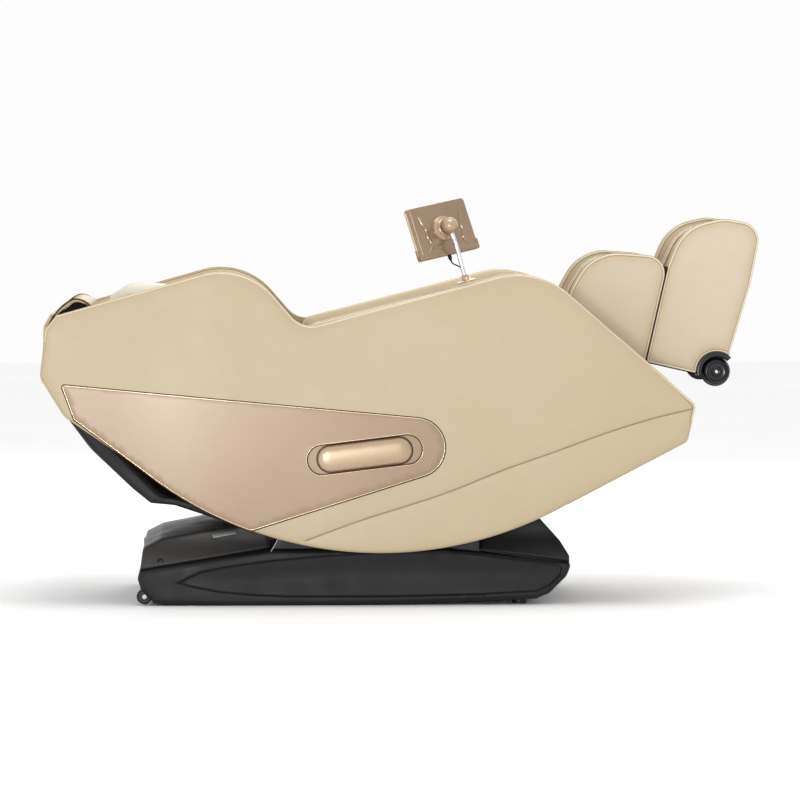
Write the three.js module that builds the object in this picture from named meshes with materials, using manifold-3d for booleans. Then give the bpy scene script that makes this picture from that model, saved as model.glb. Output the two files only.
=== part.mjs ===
// A one-piece-body massage chair, modelled fully reclined, as an assembly of separate pieces.
// Millimetres. +X points from the head to the feet, +Z up, and the chair is symmetric about the XZ plane
// apart from its touch-screen remote. The origin is the middle of the footprint, on the floor.
import * as THREE from "three";
import * as BufferGeometryUtils from "three/addons/utils/BufferGeometryUtils.js";
import Module from "manifold-3d";

const wasm = await Module();
wasm.setup();

// ---------------------------------------------------------------- driving dimensions
const GAP = 0.4; // clearance between pieces that touch
const HALF_WIDTH = 375; // outer face of the side panels
const SKIN = 45; // thickness of a side panel
const ARM_INNER = 230; // inner face of the armrests
const SEAT_HALF = 227; // half width of the seat and back upholstery
const BASE_HALF = 310; // half width of the floor base
const CRADLE = { x: 60, z: 1050, r: 918.5 }; // the arc of the side panels' lower edge
const TILT_PIVOT = { x: 100, z: 300 }; // axle on which the whole seat body tilts
const KNEE = { x: 478, z: 660 }; // leg rest hinge
const HIP = { x: -45, z: 515 }; // where the seat meets the back
const BACK_RISE = 17.5; // degrees that the back climbs towards the head
const TILT_ROD_X = -48; // line of the tilt actuator
const SEAT_RISE = 19.1; // degrees that the seat climbs towards the knees
const LEG_FALL = 12.8; // degrees that the leg rest drops towards the feet
const LEG_SEAM = { x: 711.3, z: 586.6 }; // underside corner where the calf box meets the foot box
const LEG_HALF = 215; // half width of the leg rest
const CALF_LENGTH = 217;
const ARM_POST = { x: 267, y: -300, z: 779 }; // foot of the remote's arm, on the right armrest
const BALL = { x: 227, y: -300, z: 921 }; // ball joint behind the remote

// ---------------------------------------------------------------- finishes
const finish = (color, roughness, metalness = 0) =>
  new THREE.MeshStandardMaterial({ color, roughness, metalness });
const UPHOLSTERY = finish(0xcdbd99, 0.55);
const LEG_HIDE = finish(0xd8ccb2, 0.55);
const PILLOW_HIDE = finish(0xe6e0d2, 0.6);
const ROSE_GOLD = finish(0xc0a184, 0.25, 0.6);
const BLACK = finish(0x2b2c2f, 0.45);
const RUBBER = finish(0x17171a, 0.8);
const STEEL = finish(0x8b8d90, 0.4, 0.9);
const CHROME = finish(0xdddddd, 0.1, 1);
const SCREEN = finish(0x0c0d10, 0.1);

// ---------------------------------------------------------------- tools
const chair = new THREE.Group();

function add(name, geometry, material, parent = chair) {
  const mesh = new THREE.Mesh(geometry, material);
  mesh.name = name;
  parent.add(mesh);
  return mesh;
}

// The closed outline of a polygon of [x, z, corner radius], its corners rounded by arcs.
function rounded(corners) {
  const points = [];
  const count = corners.length;
  corners.forEach(([x, z, radius = 0], i) => {
    const here = new THREE.Vector2(x, z);
    const back = new THREE.Vector2(...corners[(i + count - 1) % count]).sub(here).normalize();
    const ahead = new THREE.Vector2(...corners[(i + 1) % count]).sub(here).normalize();
    if (!radius) return points.push(here);
    const half = Math.acos(THREE.MathUtils.clamp(back.dot(ahead), -1, 1)) / 2;
    const middle = back.clone().add(ahead).normalize().multiplyScalar(radius / Math.sin(half)).add(here);
    const start = back.clone().multiplyScalar(radius / Math.tan(half)).add(here).sub(middle);
    const end = ahead.clone().multiplyScalar(radius / Math.tan(half)).add(here).sub(middle);
    let turn = end.angle() - start.angle();
    if (turn > Math.PI) turn -= 2 * Math.PI;
    if (turn < -Math.PI) turn += 2 * Math.PI;
    const steps = Math.max(2, Math.ceil(Math.abs(turn) / 0.27));
    for (let k = 0; k <= steps; k++) {
      const spun = start.clone().rotateAround(new THREE.Vector2(), (turn * k) / steps);
      points.push(spun.add(middle));
    }
  });
  return points;
}

// Points on the cradle arc between two places along the chair.
function cradleArc(fromX, toX, steps, inset = 0) {
  const radius = CRADLE.r - inset;
  const angle = (x) => -Math.acos((x - CRADLE.x) / radius);
  return Array.from({ length: steps + 1 }, (_, k) => {
    const a = angle(fromX) + ((angle(toX) - angle(fromX)) * k) / steps;
    return [CRADLE.x + radius * Math.cos(a), CRADLE.z + radius * Math.sin(a)];
  });
}

// A side view outline made solid from y0 to y1.
function prism(corners, y0, y1) {
  const shape = new THREE.Shape(rounded(corners));
  const bar = new THREE.ExtrudeGeometry(shape, { depth: y1 - y0, bevelEnabled: false });
  return bar.rotateX(Math.PI / 2).translate(0, y1, 0);
}

// The same, with the edges of both faces eased by the given amount.
function eased(corners, y0, y1, ease) {
  const shape = new THREE.Shape(rounded(corners));
  const bevelSegments = ease > 8 ? 2 : 1;
  const bevel = { bevelThickness: ease, bevelSize: ease, bevelOffset: -ease, bevelSegments };
  const bar = new THREE.ExtrudeGeometry(shape, { depth: y1 - y0 - 2 * ease, ...bevel });
  return bar.rotateX(Math.PI / 2).translate(0, y1 - ease, 0);
}

const block = (x0, x1, y0, y1, z0, z1) =>
  new THREE.BoxGeometry(x1 - x0, y1 - y0, z1 - z0).translate((x0 + x1) / 2, (y0 + y1) / 2, (z0 + z1) / 2);

// A round bar across the chair.
const crossBar = (x, z, radius, y0, y1, sides = 20) =>
  new THREE.CylinderGeometry(radius, radius, y1 - y0, sides).translate(x, (y0 + y1) / 2, z);

const upright = (x, y, z0, z1, radius, sides = 20) => {
  const bar = new THREE.CylinderGeometry(radius, radius, z1 - z0, sides);
  return bar.rotateX(Math.PI / 2).translate(x, y, (z0 + z1) / 2);
};

// A round bar along the X axis, its middle at x.
const lengthBar = (x, y, z, radius, length) =>
  new THREE.CylinderGeometry(radius, radius, length, 14).rotateZ(Math.PI / 2).translate(x, y, z);

// A wheel turned about Y from [radius, y] pairs that start and end on the axle line.
const turned = (profile, x, y, z, sides = 28) =>
  new THREE.LatheGeometry(profile.map(([r, h]) => new THREE.Vector2(r, h)), sides).translate(x, y, z);

function solid(geometry) {
  const bare = geometry.clone().deleteAttribute("normal").deleteAttribute("uv");
  const merged = BufferGeometryUtils.mergeVertices(bare, 1e-3);
  return new wasm.Manifold(
    new wasm.Mesh({
      numProp: 3,
      vertProperties: new Float32Array(merged.attributes.position.array),
      triVerts: new Uint32Array(merged.index.array),
    }),
  );
}

function geometryOf(manifold) {
  const mesh = manifold.getMesh();
  return new THREE.BufferGeometry()
    .setAttribute("position", new THREE.BufferAttribute(new Float32Array(mesh.vertProperties), 3))
    .setIndex(new THREE.BufferAttribute(new Uint32Array(mesh.triVerts), 1));
}

const joined = (...pieces) => geometryOf(pieces.map(solid).reduce((a, b) => a.add(b)));
const cut = (piece, ...tools) => geometryOf(tools.map(solid).reduce((a, b) => a.subtract(b), solid(piece)));

// Left (+Y) and right (-Y) copies: build(side, y) gets the side's name and turns |y| spans into real ones.
function bothSides(build) {
  for (const [side, sign] of [["left", 1], ["right", -1]]) {
    build(side, (inner, outer) => (sign > 0 ? [inner, outer] : [-outer, -inner]), sign);
  }
}

// ---------------------------------------------------------------- floor base
const TUB = [
  [-530, 66, 20], [-524, 86, 4], [-208, 136, 60], [215, 138, 60], [519, 103, 4], [522, 92, 12], [512, 68, 30],
  [470, 27, 30], [438, 14, 12], [200, 6, 60], [10, 0], [-320, 0], [-492, 5, 3], [-494, 10, 3], [-521, 36, 16],
];
const REAR_HOOD = [
  [-524 + GAP, 86 + GAP], [-517, 138, 14], [-474, 160, 40], [-377, 179, 60], [-296, 190, 60], [-216, 200, 4],
  [-216, 136],
];
const FRONT_HOOD = [
  [300, 130], [300, 160, 4], [410, 236, 8], [432, 226, 10], [497, 154, 30], [519, 118, 14], [519, 102],
];
const FLOOR = 12; // top of the tub's floor
const PAD = { x: 400, y: 250, top: 11 };
const REAR_AXLE = { x: -513, z: 22 };
const FAIRING = [
  [-208, 138], [-170, 182, 4], [60, 176, 60], [299, 168, 4], [299, 130], [215, 139], [0, 138.5],
];
const REAR_HOLLOW = [[-508, 80], [-500, 130], [-425, 150], [-296, 174], [-228, 182], [-228, 80]];
const FRONT_HOLLOW = [[312, 90], [312, 156], [411, 222], [426, 212], [488, 146], [505, 90]];

function floorBase() {
  const tub = prism(TUB, -BASE_HALF, BASE_HALF);
  const inside = [[-490, FLOOR], [-490, 78], [-208, 124], [215, 126], [470, 96], [440, 24], [200, FLOOR]];
  const hollow = prism(inside, -BASE_HALF + 12, BASE_HALF - 12);
  const axleBore = crossBar(REAR_AXLE.x, REAR_AXLE.z, 6, -BASE_HALF - 1, BASE_HALF + 1, 12);
  const trough = block(-206, 298, -270, 270, 90, 150);
  const pockets = [-1, 1].map((sign) =>
    crossBar(REAR_AXLE.x, REAR_AXLE.z, 24, sign * 284 - 14, sign * 284 + 14),
  );
  const rearOpening = block(-480, -230, -230, 230, 60, 140);
  const frontOpening = block(310, 430, -230, 230, 60, 140);
  add("base_tub", cut(tub, hollow, trough, rearOpening, frontOpening, axleBore, ...pockets), BLACK);

  const inletCut = block(-540, -505, 90, 190, 96, 134);
  const rearHollow = prism(REAR_HOLLOW, -278, 278);
  const rearHood = prism(REAR_HOOD, -296, 296);
  add("base_rear_hood", cut(rearHood, rearHollow, inletCut), BLACK);
  const frontHollow = prism(FRONT_HOLLOW, -278, 278);
  const tubTop = prism(TUB.map(([x, z, radius]) => [x, z + GAP, radius]), -BASE_HALF, BASE_HALF);
  add("base_front_hood", cut(prism(FRONT_HOOD, -300, 300), frontHollow, tubTop), BLACK);
  bothSides((side, span, sign) => {
    const [y0, y1] = span(286, 300);
    add(`base_fairing_${side}`, cut(prism(FAIRING, y0, y1), tubTop), BLACK);
    add(`foot_pad_${side}`, upright(PAD.x, sign * PAD.y, 0, PAD.top, 18, 16), RUBBER);
    add(`rear_wheel_${side}`, wheel(REAR_AXLE.x, sign * 284, REAR_AXLE.z, 19, 12, 5.4), RUBBER);
  });
  // Steel uprights on a floor plate carry the tilt axle.
  const standSide = [[20, FLOOR + GAP], [180, FLOOR + GAP], [128, 300], [100, 328, 26], [72, 300]];
  const uprights = [-1, 1].map((sign) => prism(standSide, sign * 202 - 5, sign * 202 + 5));
  const plate = block(30, 170, -204, 204, FLOOR + GAP, FLOOR + 6);
  const axle = crossBar(TILT_PIVOT.x, TILT_PIVOT.z, 12, -228, 228, 24);
  add("tilt_stand", joined(...uprights, plate, axle), STEEL);
  add("rear_wheel_axle", crossBar(REAR_AXLE.x, REAR_AXLE.z, 5, -299, 299, 16), STEEL);
  add("control_box", block(-440, -260, -170, 20, FLOOR + GAP, 54), BLACK);
  add("power_inlet", block(-521, -506, 94, 150, 99, 131), BLACK);
  add("power_switch", block(-522, -508, 162, 180, 104, 126), BLACK);
}

// A bored wheel whose tread is eased at both edges.
function wheel(x, y, z, radius, halfWidth, bore, sides = 24) {
  const profile = [
    [bore, -halfWidth], [radius - 3, -halfWidth], [radius, -halfWidth + 4], [radius, halfWidth - 4],
    [radius - 3, halfWidth], [bore, halfWidth], [bore, -halfWidth],
  ];
  return turned(profile, x, y, z, sides);
}

// ---------------------------------------------------------------- side panels
const SIDE_PANEL = [
  [-748, 672, 8], [-722, 705, 10], [-270, 831.6, 170], [-130.3, 671.4, 62], [435.4, 822.4, 190],
  [820, 488, 18], [799, 399, 22], [512.5, 249.2], ...cradleArc(505, -510, 22), [-704, 462, 45], [-762, 556, 35],
];
const PANEL_HOLLOW = [
  [-722, 560], [-708, 676, 20], [-300, 788, 120], [-150, 640, 60], [-80, 638, 60], [410, 785, 120],
  [780, 480, 20], [770, 424, 20], [500, 286], ...cradleArc(480, -500, 12, 34), [-690, 488],
];
const ACCENT_PANEL = [
  [-708, 537, 4], [492, 424.5, 70], [-252, 189.5], ...cradleArc(-258, -508, 10, 1.5), [-678, 456],
];
// The badge is an oblong, turned up towards the feet.
const BADGE = { x: 19, z: 370, rise: 6.9, length: 281, height: 74 };

function oblong(length, height) {
  const [l, h, r] = [length / 2, height / 2, height / 2 - 0.5];
  const turn = THREE.MathUtils.degToRad(BADGE.rise);
  return [[-l, -h], [l, -h], [l, h], [-l, h]].map(([x, z]) => {
    const spun = new THREE.Vector2(x, z).rotateAround(new THREE.Vector2(), turn);
    return [BADGE.x + spun.x, BADGE.z + spun.y, r];
  });
}

function sidePanels() {
  const inner = HALF_WIDTH - SKIN;
  bothSides((side, span) => {
    const panel = eased(SIDE_PANEL, ...span(inner, HALF_WIDTH - 7), 5);
    const hollow = prism(PANEL_HOLLOW, ...span(inner - 1, HALF_WIDTH - 19));
    add(`side_panel_${side}`, cut(panel, hollow), UPHOLSTERY);
    const accent = prism(ACCENT_PANEL, ...span(HALF_WIDTH - 7 + GAP, HALF_WIDTH));
    const recess = prism(oblong(BADGE.length, BADGE.height), ...span(HALF_WIDTH - 4, HALF_WIDTH + 2));
    add(`accent_panel_${side}`, cut(accent, recess), ROSE_GOLD);
    const badge = prism(oblong(228, 62), ...span(HALF_WIDTH - 4 + GAP, HALF_WIDTH + 3));
    add(`badge_${side}`, badge, ROSE_GOLD);
  });
}

// ---------------------------------------------------------------- seat body
const ARMREST = [
  [-120, 677, 30], [435.4, 819, 188], [762, 540, 20], [735, 470, 30], [600, 436, 40], [380, 420, 60],
  [120, 372, 60], [-120, 372, 10],
];
const SHOULDER_WING = [
  [-742, 668, 8], [-718, 702, 10], [-270, 827, 168], [-140, 674, 10], [-126, 400, 10], [-300, 262, 30],
  [-466, 300, 30],
  [-690, 506, 20], [-748, 560, 24],
];
const REAR_COVER = [
  [-696, 455, 8], [-642, 383, 200], [-540, 286, 200], [-497, 251, 14], [-440, 246, 60], [-317, 205, 10],
  [-150, 300, 10], [-140, 330, 8], [-300, 236, 30], [-470, 272, 60], [-672, 478, 8],
];
// The panel behind the back curls over at its top, behind the flap of the pillow.
const BACK_PANEL = [
  [-696, 480, 4], [-744, 565, 40], [-747.5, 672, 20], [-733, 702, 3], [-738, 709, 4], [-757, 676, 24],
  [-760, 562, 40], [-712, 476, 6],
];
const FRONT_APRON = [
  [498, 592, 3], [607, 472, 24], [602, 440, 3], [595, 440, 3], [599, 470, 20], [496, 583, 3],
];

const backFrameOf = (group) => {
  group.position.set(HIP.x, 0, HIP.z);
  group.rotation.y = THREE.MathUtils.degToRad(BACK_RISE);
  return group;
};

function seatBody() {
  const bodyHalf = HALF_WIDTH - SKIN - GAP;
  bothSides((side, span) => {
    add(`armrest_${side}`, prism(ARMREST, ...span(ARM_INNER, bodyHalf)), UPHOLSTERY);
    add(`shoulder_wing_${side}`, prism(SHOULDER_WING, ...span(ARM_INNER + 2, bodyHalf)), UPHOLSTERY);
  });
  add("rear_cover", prism(REAR_COVER, -bodyHalf, bodyHalf), BLACK);
  add("back_panel", prism(BACK_PANEL, -229, 229), UPHOLSTERY);
  add("front_apron", prism(FRONT_APRON, -229, 229), BLACK);
  seatFrame();
  seatCushions();
  massageMechanism();
}

const PLATE = [
  [-78, 392], [-78, 424, 4], [402, 586], [472, 617], [474.5, 626.4], [461.7, 666.4, 8], [486.3, 674.9, 10],
  [493.5, 654, 6], [494, 602, 20], [440, 574], [150, 400, 20], [140, 300], [100, 262, 36], [60, 300],
  [50, 372, 20],
];
const LIFT_LUG = [[-60, 412], [-66, 265], [TILT_ROD_X, 249, 15], [-30, 265], [-24, 412]];

// Steel side plates with the tilt bearings, joined by cross tubes, and the lug that the tilt actuator lifts.
function seatFrame() {
  const pieces = [];
  for (const sign of [-1, 1]) {
    const span = (a, b) => (sign > 0 ? [a, b] : [-b, -a]);
    pieces.push(prism(PLATE, ...span(217, 225)));
    pieces.push(prism(LIFT_LUG, ...span(16, 22)));
  }
  for (const [x, z] of [[-42, 404], [200, 455], [400, 560]]) pieces.push(crossBar(x, z, 11, -219, 219, 12));
  pieces.push(crossBar(TILT_ROD_X, 265, 6, -20, 20, 12));
  const tiltBore = crossBar(TILT_PIVOT.x, TILT_PIVOT.z, 12.4, -230, 230, 24);
  const kneeBore = crossBar(KNEE.x, KNEE.z, 8.4, -230, 230, 20);
  add("seat_frame", cut(joined(...pieces), tiltBore, kneeBore), STEEL);
}

const BACK_PAD = [[-2, 0, 14], [-2, -58, 14], [-676, -58, 20], [-676, -6, 20], [-610, 0, 60]];
const SEAT_PAD = [[6, 0, 14], [6, -62, 14], [508, -62, 14], [520, 0, 30]];
const HEAD_PILLOW = [[-366, GAP, 12], [-368, 70, 50], [-445, 130, 80], [-578, 90, 50], [-611, GAP, 18]];
// A strap that arches from the pad over the top edge of the back.
const HEAD_FLAP = [
  [-716, -64, 3], [-711, -20, 30], [-676, 28, 30], [-636, 28, 14], [-618, GAP, 3], [-628, GAP, 3], [-641, 20, 8],
  [-672, 20, 24], [-703, -22, 24], [-708, -64, 3],
];

function seatCushions() {
  const back = backFrameOf(new THREE.Group());
  chair.add(back);
  add("back_cushion", eased(BACK_PAD, -SEAT_HALF, SEAT_HALF, 12), UPHOLSTERY, back);
  add("head_pillow", prism(HEAD_PILLOW, -150, 150), PILLOW_HIDE, back);
  add("head_flap", prism(HEAD_FLAP, -222, 222), UPHOLSTERY, back);
  // Side plates and cross members of the back.
  const plates = [-1, 1].map((sign) => block(-630, -20, sign * 221 - 4, sign * 221 + 4, -166, -60));
  const ties = [-605, -40].map((x) => crossBar(x, -156, 8, -220, 220, 12));
  add("back_frame", joined(...plates, ...ties), STEEL, back);

  const seat = new THREE.Group();
  seat.position.set(HIP.x, 0, HIP.z - 5);
  seat.rotation.y = THREE.MathUtils.degToRad(-SEAT_RISE);
  chair.add(seat);
  add("seat_cushion", eased(SEAT_PAD, -SEAT_HALF, SEAT_HALF, 12), UPHOLSTERY, seat);
}

// Two rails behind the back upholstery, the motor carriage that climbs them, and its kneading arms.
const RAIL_Z = [-148, -134];
const CARRIAGE = { x: -330, half: 54, pinZ: -104 };
const KNEADER = { y: 52, reach: 80, z: -92, roller: 22 };

function massageMechanism() {
  const back = backFrameOf(new THREE.Group());
  chair.add(back);
  bothSides((side, span, sign) => {
    add(`track_rail_${side}`, block(-625, -30, ...span(112, 128), ...RAIL_Z), STEEL, back);
    const armY = sign * KNEADER.y;
    const { reach, z } = KNEADER;
    const [top, bottom] = [CARRIAGE.x - reach - 12, CARRIAGE.x + reach + 12];
    const bow = [
      [top, z - 9, 8], [top, z + 7, 8], [CARRIAGE.x, z - 5], [bottom, z + 7, 8], [bottom, z - 9, 8],
      [CARRIAGE.x, z - 24, 12],
    ];
    const stubs = [-1, 1].map((way) => crossBar(CARRIAGE.x + way * reach, z, 5, armY - 24, armY + 24, 12));
    const bore = crossBar(CARRIAGE.x, CARRIAGE.pinZ, 5.5, armY - 8, armY + 8, 16);
    add(`kneading_arm_${side}`, cut(joined(prism(bow, armY - 6, armY + 6), ...stubs), bore), BLACK, back);
    for (const [place, way] of [["upper", -1], ["lower", 1]]) {
      const roller = wheel(CARRIAGE.x + way * reach, armY + sign * 16, z, KNEADER.roller, 9, 5.6, 18);
      add(`kneading_roller_${place}_${side}`, roller, RUBBER, back);
    }
  });
  const [low, high] = [CARRIAGE.x - CARRIAGE.half, CARRIAGE.x + CARRIAGE.half];
  const body = joined(
    block(low, high, -100, 100, -168, -122),
    block(CARRIAGE.x - 14, CARRIAGE.x + 14, -32, 32, -123, -98),
    crossBar(CARRIAGE.x, CARRIAGE.pinZ, 5, -60, 60, 16),
  );
  const hubs = [-1, 1].flatMap((sign) =>
    [-40, 40].map((dx) => crossBar(CARRIAGE.x + dx, -141, 5, sign * 104 - 6, sign * 104 + 6, 12)),
  );
  add("massage_carriage", joined(body, ...hubs), BLACK, back);
}

// ---------------------------------------------------------------- tilt actuator
function actuator() {
  const motor = block(TILT_ROD_X - 34, TILT_ROD_X + 34, -26, 70, 22, 70);
  const tube = joined(upright(TILT_ROD_X, 0, 62, 190, 22, 20), motor);
  add("tilt_actuator", cut(tube, upright(TILT_ROD_X, 0, 80, 200, 12.5, 20)), BLACK);
  const eye = cut(
    joined(upright(TILT_ROD_X, 0, 84, 250, 11, 16), crossBar(TILT_ROD_X, 265, 19, -12, 12, 24)),
    crossBar(TILT_ROD_X, 265, 11.5, -14, 14, 20),
  );
  add("tilt_actuator_rod", eye, STEEL);
}

// ---------------------------------------------------------------- leg rest
// The leg rest's own frame: x along the leg towards the feet, z square to it, y across.
function legFrame() {
  const leg = new THREE.Group();
  leg.position.set(LEG_SEAM.x, 0, LEG_SEAM.z);
  leg.rotation.y = THREE.MathUtils.degToRad(LEG_FALL);
  chair.add(leg);
  return leg;
}

function inLeg(x, z) {
  const a = THREE.MathUtils.degToRad(LEG_FALL);
  const [dx, dz] = [x - LEG_SEAM.x, z - LEG_SEAM.z];
  return [dx * Math.cos(a) - dz * Math.sin(a), dx * Math.sin(a) + dz * Math.cos(a)];
}

const CALF_SIDE = [
  [-CALF_LENGTH, 0, 12], [-1, 0, 8], [-1, 262, 46], [-CALF_LENGTH + 30, 234, 110], [-CALF_LENGTH, 130, 90],
];
const CALF_DIVIDER = [
  [-CALF_LENGTH + 8, 50, 8], [-4, 50, 8], [-4, 240, 40], [-CALF_LENGTH + 44, 220, 90],
  [-CALF_LENGTH + 8, 130, 60],
];
const FOOT_SIDE = [
  [1, 0, 8], [192, 0, 8], [208, 240, 300], [203, 387, 46], [110, 383, 90], [18, 340, 110], [1, 240, 90],
];
const FOOT_DIVIDER = [
  [5, 50, 8], [180, 50, 8], [186, 368, 30], [110, 364, 80], [26, 326, 100], [5, 234, 80],
];
const SOLE_WALL = [
  [160, 4, 2], [190, 4, 2], [206, 240, 300], [204, 356, 14], [176, 356, 13], [172, 240, 200],
];
const FOOT_WHEEL = { x: 175, y: 198, z: 14, radius: 32.5 };
const ROD_Y = 100; // the two rods on which the foot box slides out
const LEG_FLOOR = 64; // top of the upholstered floor of both leg channels

function legRest() {
  const leg = legFrame();
  const [kneeX, kneeZ] = inLeg(KNEE.x, KNEE.z);
  const parts = [eased(CALF_DIVIDER, -30, 30, 6), block(-CALF_LENGTH + 4, -3, -170, 170, 2, LEG_FLOOR)];
  const tools = [];
  const lugs = [];
  tools.push(block(-191, -20, -ROD_Y - 2, ROD_Y + 2, 12, 30));
  bothSides((side, span, sign) => {
    parts.push(eased(CALF_SIDE, ...span(158, LEG_HALF), 6));
    tools.push(block(-CALF_LENGTH, 0, sign * ROD_Y - 9, sign * ROD_Y + 9, 12, 30));
    tools.push(block(-CALF_LENGTH - 5, -CALF_LENGTH + 60.4, ...span(145.6, 153.4), -5, 34.4));
    const plate = [
      [kneeX - 13, kneeZ, 12], [kneeX, kneeZ + 13, 12], [-CALF_LENGTH + 60, 34], [-CALF_LENGTH + 60, 8],
      [kneeX, kneeZ - 13, 12],
    ];
    lugs.push(prism(plate, ...span(146, 153)));
  });
  add("calf_box", cut(joined(...parts), ...tools), LEG_HIDE, leg);
  add("knee_bracket", joined(...lugs, crossBar(kneeX, kneeZ, 7.8, -228, 228, 20)), STEEL, leg);
}

function footRest() {
  const leg = legFrame();
  const { x, y, z, radius } = FOOT_WHEEL;
  const openFront = [
    [x - 70, z - 90], [x + 90, z - 90], [x + 90, z + 34], [x + 30, z + 34], [x + 8, z - 8], [x - 70, z - 8],
  ];
  const parts = [
    eased(FOOT_DIVIDER, -30, 30, 6), prism(SOLE_WALL, -170, 170), block(5, 180, -170, 170, 2, LEG_FLOOR),
  ];
  const tools = [];
  bothSides((side, span, sign) => {
    parts.push(eased(FOOT_SIDE, ...span(158, LEG_HALF), 6));
    tools.push(crossBar(x, z, 50, ...span(174, LEG_HALF + 5), 40));
    tools.push(block(155, 193, ...span(42, 146), 150, 186));
    tools.push(lengthBar(10, sign * ROD_Y, 21, 7.4, 24));
    const band = cut(
      crossBar(x, z, 49.6, ...span(174.4, LEG_HALF + 3), 40),
      crossBar(x, z, 37, ...span(179, LEG_HALF + 4), 40),
      prism(openFront, ...span(170, 220)),
    );
    add(`wheel_fender_${side}`, joined(band, crossBar(x, z, 6, ...span(178, 214), 16)), BLACK, leg);
    add(`foot_wheel_${side}`, wheel(x, sign * y, z, radius, 14, 6.5), RUBBER, leg);
    add(`sole_roller_${side}`, soleRoller(sign), BLACK, leg);
  });
  add("foot_box", cut(joined(...parts), ...tools), LEG_HIDE, leg);
  const rods = [-1, 1].map((sign) => lengthBar(-84, sign * ROD_Y, 21, 7, 205));
  add("slide_frame", joined(...rods, block(-186.5, -176, -ROD_Y, ROD_Y, 14, 28)), STEEL, leg);
}

// A ribbed roller in the sole wall, on its own short axle.
function soleRoller(sign) {
  const ribs = [];
  for (let k = 0; k <= 8; k++) ribs.push([k % 2 ? 11.5 : 14, -44 + 11 * k]);
  return turned([[0, -50], [4, -50], [4, -46], ...ribs, [4, 46], [4, 50], [0, 50]], 174, sign * 94, 168, 16);
}

// ---------------------------------------------------------------- touch-screen remote
const TABLET = { width: 180, height: 130, depth: 15, standOff: 30 };
const TABLET_TURN = { yaw: 35, roll: 12, nod: 9 };

function remote() {
  // Flared foot on the armrest, square to the armrest's slope.
  const slope = THREE.MathUtils.degToRad(-15);
  const foot = turned([[0, 0], [24, 0], [24, 3], [14, 6], [9, 14], [8, 26], [0, 26]], 0, 0, 0, 24);
  const post = new THREE.Group();
  post.position.set(ARM_POST.x, ARM_POST.y, ARM_POST.z + 5);
  post.rotation.y = slope;
  chair.add(post);
  add("remote_socket", foot.rotateX(Math.PI / 2), ROSE_GOLD, post);
  const bend = new THREE.CatmullRomCurve3([
    new THREE.Vector3(ARM_POST.x - 7.2, ARM_POST.y, ARM_POST.z + 31),
    new THREE.Vector3(ARM_POST.x - 15, ARM_POST.y, ARM_POST.z + 60),
    new THREE.Vector3(ARM_POST.x - 26, ARM_POST.y, ARM_POST.z + 98),
    new THREE.Vector3(BALL.x + 5.2, BALL.y, BALL.z - 19),
  ]);
  const circle = new THREE.EllipseCurve(0, 0, 5, 5, 0, 2 * Math.PI).getPoints(12);
  const bent = { steps: 10, extrudePath: bend, bevelEnabled: false };
  add("remote_arm", new THREE.ExtrudeGeometry(new THREE.Shape(circle.slice(0, 12)), bent), CHROME);
  add("ball_joint", new THREE.SphereGeometry(18.5, 20, 12).translate(BALL.x, BALL.y, BALL.z), ROSE_GOLD);

  const head = new THREE.Group();
  head.position.set(BALL.x, BALL.y, BALL.z);
  const { nod, roll, yaw } = TABLET_TURN;
  head.rotation.set(...[-nod, -roll, yaw].map(THREE.MathUtils.degToRad), "YZX");
  chair.add(head);
  const top = TABLET.standOff + 1;
  const cup = turned([[0, 19.5], [9, 18], [14, 14], [22, 16], [34, 26], [35, top], [0, top]], 0, 0, 0, 24);
  const [w, h, d] = [TABLET.width / 2, TABLET.height / 2, TABLET.depth];
  const face = (fitX, fitZ, radius) =>
    [[-w, -h], [w, -h], [w, h], [-w, h]].map(([x, z]) => [x * fitX, z * fitZ, radius]);
  const housing = cut(
    prism(face(1, 1, 9), TABLET.standOff, TABLET.standOff + d),
    prism(face(0.955, 0.94, 6), TABLET.standOff + d - 5, TABLET.standOff + d + 1),
  );
  add("remote_housing", joined(housing, cup), ROSE_GOLD, head);
  const screen = prism(face(0.95, 0.933, 5.6), TABLET.standOff + d - 5 + GAP, TABLET.standOff + d - 0.5);
  add("remote_screen", screen, SCREEN, head);
  add("cable_plug", upright(0, TABLET.standOff + d / 2, -h - 14, -h - GAP, 4.5, 16), BLACK, head);
}

floorBase();
sidePanels();
seatBody();
actuator();
legRest();
footRest();
remote();

export default chair;
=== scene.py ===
"""The looks of a reclined massage chair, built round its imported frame.

Outlines are side views in millimetres, x towards the feet and z up; a mesh is made in metres.
"""

import math

import bpy
import numpy as np
from mathutils import Matrix, Vector
from mathutils.geometry import delaunay_2d_cdt


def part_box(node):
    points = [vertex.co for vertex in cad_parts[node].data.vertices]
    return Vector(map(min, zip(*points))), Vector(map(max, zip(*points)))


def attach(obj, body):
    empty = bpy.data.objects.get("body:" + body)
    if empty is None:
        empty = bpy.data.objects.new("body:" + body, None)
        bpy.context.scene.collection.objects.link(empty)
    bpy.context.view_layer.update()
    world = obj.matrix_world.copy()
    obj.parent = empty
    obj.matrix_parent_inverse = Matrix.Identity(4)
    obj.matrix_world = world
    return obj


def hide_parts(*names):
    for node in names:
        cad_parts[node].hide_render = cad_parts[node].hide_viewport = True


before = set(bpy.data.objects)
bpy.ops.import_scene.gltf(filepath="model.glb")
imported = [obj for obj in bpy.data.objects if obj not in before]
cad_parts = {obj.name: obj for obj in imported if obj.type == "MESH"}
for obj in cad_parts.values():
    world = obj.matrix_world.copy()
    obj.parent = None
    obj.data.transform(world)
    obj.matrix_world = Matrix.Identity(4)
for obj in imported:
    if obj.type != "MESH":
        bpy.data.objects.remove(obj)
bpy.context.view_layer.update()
MM = 0.001
UP = Vector((0, 0, 1))
SIDES = (
    ("right", False), ("left", True)
)  # the near side is built first, and flip mirrors it to the far side


# ---------------------------------------------------------------- camera
CAMERA_PLACE = (-0.3045, -10.975, 1.03)
CAMERA_AIM = (0.1035, -0.375, 0.502)


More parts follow.
